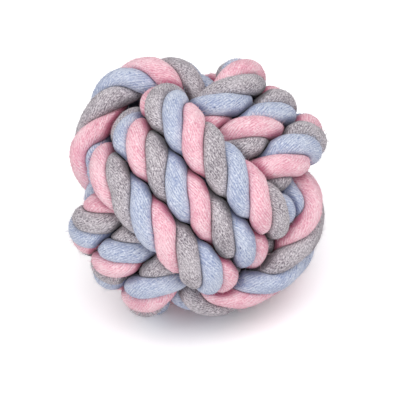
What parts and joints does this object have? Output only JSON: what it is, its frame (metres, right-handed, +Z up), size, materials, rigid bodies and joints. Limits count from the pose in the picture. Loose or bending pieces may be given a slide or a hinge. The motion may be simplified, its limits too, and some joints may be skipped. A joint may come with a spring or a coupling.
{
  "type": "rope ball dog toy",
  "caption": "Ball-shaped chew toy tied as a monkey's fist knot in thick three-strand cotton rope over a hidden core, for throwing, tugging and chewing.",
  "frame": {"origin": "on the floor, under the middle of the ball's box", "axes": "+Z up, -Y to the front face with the diagonal passes, +X to the right as seen from the front"},
  "size_m": [0.075, 0.0738, 0.0706],
  "materials": {
    "pink_cotton": "soft spun cotton, dusty pink",
    "blue_cotton": "soft spun cotton, light steel blue",
    "grey_cotton": "soft spun cotton, warm grey melange",
    "undyed_cotton": "undyed cotton wadding, hidden"
  },
  "bodies": {
    "root": {"pink_strand": "pink_cotton", "blue_strand": "blue_cotton", "grey_strand": "grey_cotton", "core": "undyed_cotton"}
  },
  "joints": []
}
